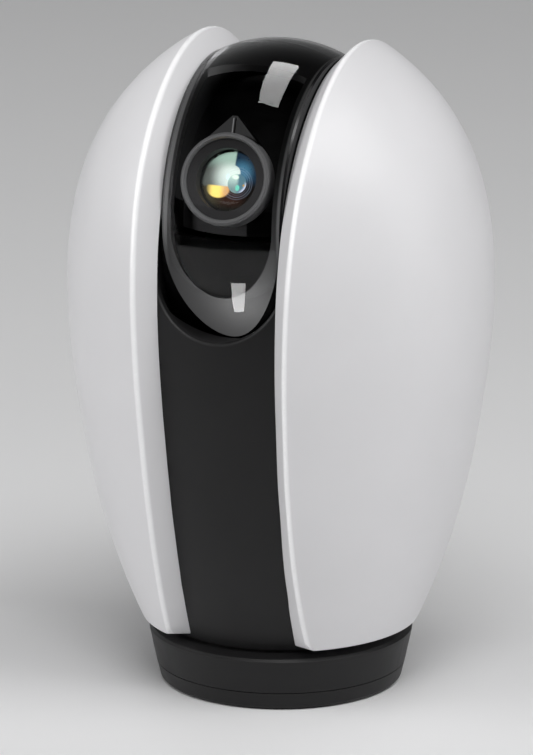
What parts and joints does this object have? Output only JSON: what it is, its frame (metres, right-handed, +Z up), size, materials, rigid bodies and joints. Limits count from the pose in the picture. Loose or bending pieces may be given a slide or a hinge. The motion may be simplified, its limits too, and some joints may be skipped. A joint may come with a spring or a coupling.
{
  "type": "pan and tilt security camera",
  "caption": "Egg-shaped indoor pan and tilt security camera: two white side shells around a black strip, with a tilting head behind a smoked window, on a low turning base.",
  "frame": {"origin": "centre of the underside of the foot ring, on the pan axis", "axes": "+Z up along the pan axis, -Y to the front (the lens side), +X to the camera's left as seen from the front"},
  "size_m": [0.085, 0.0786, 0.1316],
  "materials": {
    "black_gloss": "polished black plastic",
    "black_satin": "matte black moulded plastic",
    "board_green": "solder-masked circuit board",
    "brass": "turned brass",
    "card_black": "moulded card",
    "chip_black": "moulded chip",
    "cone_paper": "pressed cone in a steel basket",
    "copper_film": "copper on film",
    "filter_glass": "blue-green filter glass",
    "frame_grey": "satin dark grey plastic",
    "led_clear": "clear epoxy",
    "lens_black": "anodised-look matte black",
    "lens_glass": "coated optical glass",
    "motor_can": "zinc-plated steel can",
    "ring_grey": "satin dark grey ring",
    "rubber": "soft rubber",
    "smoked_window": "clear smoked acrylic, polished",
    "steel": "plated steel",
    "tin_can": "tinned steel",
    "white_pom": "natural acetal",
    "white_shell": "satin white moulded plastic, fine grain"
  },
  "bodies": {
    "base": {"base_bottom_cover": "black_satin", "base_housing": "black_satin", "foot_ring": "rubber", "tripod_insert": "brass", "base_screws": "steel", "pan_ring_gear": "white_pom", "pan_thrust_washer": "white_pom", "pan_slide_ring": "white_pom", "pan_retainer": "tin_can", "pan_retainer_screw": "steel"},
    "pan_body": {"turntable": "black_satin", "turntable_screws": "steel", "yoke": "black_satin", "left_shell": "white_shell", "right_shell": "white_shell", "shell_screws": "steel", "front_cover": "black_satin", "head_cradle": "black_satin", "back_cover": "black_satin", "pan_motor": "motor_can", "tilt_motor": "motor_can", "motor_screws": "steel", "main_board": "board_green", "shield_cans": "tin_can", "usb_socket": "tin_can", "microsd_socket": "tin_can", "reset_switch": "chip_black", "speaker": "cone_paper", "microphone": "chip_black", "wifi_antenna": "copper_film"},
    "head": {"head_front_shell": "black_gloss", "head_rear_shell": "black_gloss", "window": "smoked_window", "window_frame": "frame_grey", "inner_mask": "black_satin", "lower_panel": "frame_grey", "lens_bezel": "ring_grey", "lens_face_ring": "lens_black", "lens_barrel": "lens_black", "front_lens": "lens_glass", "inner_lenses": "lens_glass", "lens_holder": "lens_black", "ir_filter": "filter_glass", "sensor_board": "board_green", "image_sensor": "chip_black", "sensor_hood": "frame_grey", "status_light_pipe": "white_pom", "ir_board": "board_green", "ir_leds": "led_clear", "tilt_axle_left": "steel", "tilt_axle_right": "steel", "tilt_gear": "white_pom"},
    "pan_pinion": {"pan_pinion": "white_pom"},
    "tilt_pinion": {"tilt_pinion": "white_pom"},
    "reset_button": {"reset_button": "white_pom"},
    "microsd_card": {"microsd_card": "card_black"}
  },
  "joints": [
    {"name": "pan", "type": "hinge", "parent": "base", "child": "pan_body", "pos_m": [0, 0, 0.013], "axis": [0, 0, 1], "range_deg": [-165, 165]},
    {"name": "pan_pinion_spin", "type": "hinge", "parent": "pan_body", "child": "pan_pinion", "pos_m": [0, -0.014, 0.006], "axis": [0, 0, 1], "range_deg": [-413, 413]},
    {"name": "tilt", "type": "hinge", "parent": "pan_body", "child": "head", "pos_m": [0, -0.0033, 0.0992], "axis": [1, 0, 0], "range_deg": [-65, 40]},
    {"name": "tilt_pinion_spin", "type": "hinge", "parent": "pan_body", "child": "tilt_pinion", "pos_m": [0.0175, -0.0033, 0.0852], "axis": [1, 0, 0], "range_deg": [-163, 163]},
    {"name": "reset_press", "type": "slide", "parent": "pan_body", "child": "reset_button", "axis": [0, -1, 0], "range_m": [0, 0.0004], "stiffness_N_per_m": 800},
    {"name": "card_slide", "type": "slide", "parent": "pan_body", "child": "microsd_card", "axis": [0, 1, 0], "range_m": [0, 0.012]}
  ],
  "couplings": [
    {"joint": "pan_pinion_spin", "follows": "pan", "ratio": 2.5},
    {"joint": "tilt_pinion_spin", "follows": "tilt", "ratio": -2.5}
  ]
}
